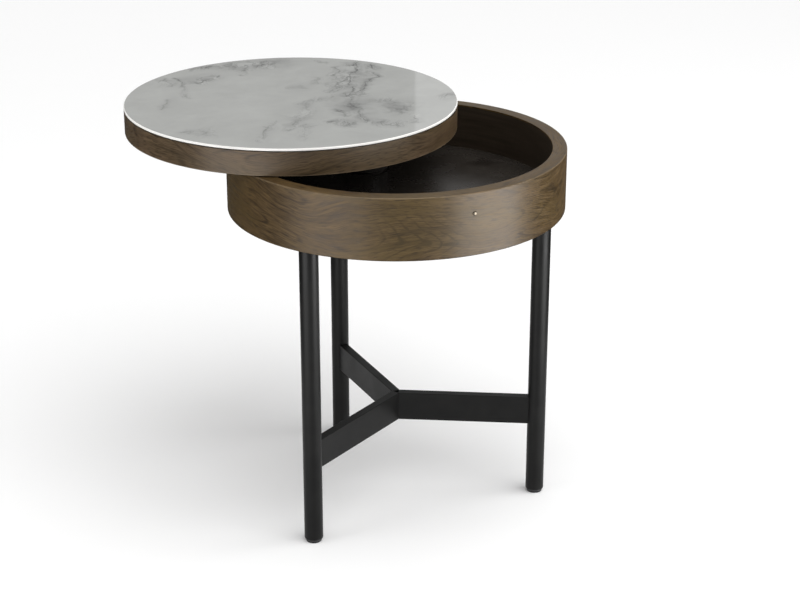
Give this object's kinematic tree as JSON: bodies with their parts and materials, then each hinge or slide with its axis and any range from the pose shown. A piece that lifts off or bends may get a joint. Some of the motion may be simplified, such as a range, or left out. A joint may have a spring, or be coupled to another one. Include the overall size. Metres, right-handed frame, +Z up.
{
  "type": "side table",
  "caption": "Round side table: a marble-look ceramic top on a walnut lid that swivels aside to open a shallow storage drum, on black steel legs tied by a flat-bar stretcher.",
  "frame": {"origin": "on the floor, under the centre of the drum", "axes": "+Z up; -Y is the front, where the stud is; +Y goes through the lid's swivel and the back leg"},
  "size_m": [0.544, 0.586, 0.542],
  "materials": {
    "ceramic": "polished",
    "walnut": "satin",
    "board": "matte",
    "well_sheet": "satin",
    "black_steel": "satin",
    "bright_steel": "satin",
    "zinc_screws": "satin",
    "bush_plastic": "matte",
    "glide_plastic": "matte",
    "felt": "matte",
    "polished_metal": "polished"
  },
  "bodies": {
    "frame": {"drum_veneer": "walnut", "rim_lipping": "walnut", "well_lining": "walnut", "drum_hoop": "board", "drum_floor": "board", "well_floor": "well_sheet", "swivel_base": "black_steel", "thrust_washer": "black_steel", "leg_front_right": "black_steel", "leg_back": "black_steel", "leg_front_left": "black_steel", "leg_plate_front_right": "black_steel", "leg_plate_back": "black_steel", "leg_plate_front_left": "black_steel", "stretcher_front_right": "black_steel", "stretcher_back": "black_steel", "stretcher_front_left": "black_steel", "spindle": "bright_steel", "stop_washer": "bright_steel", "retaining_screw": "bright_steel", "base_bolts": "zinc_screws", "leg_plate_screws": "zinc_screws", "glide_front_right": "glide_plastic", "glide_back": "glide_plastic", "glide_front_left": "glide_plastic", "glide_pad_front_right": "felt", "glide_pad_back": "felt", "glide_pad_front_left": "felt", "front_stud": "polished_metal"},
    "lid": {"ceramic_top": "ceramic", "lid_core": "board", "lid_edge_veneer": "walnut", "lid_backing": "walnut", "swivel_column": "black_steel", "column_flange": "black_steel", "flange_screws": "zinc_screws", "lower_bush": "bush_plastic", "upper_bush": "bush_plastic", "stop_pin": "bright_steel"}
  },
  "joints": [
    {"name": "lid_swivel", "type": "hinge", "parent": "frame", "child": "lid", "pos_m": [0, 0.1, 0.474], "axis": [0, 0, 1], "range_deg": [-70, 110]}
  ]
}
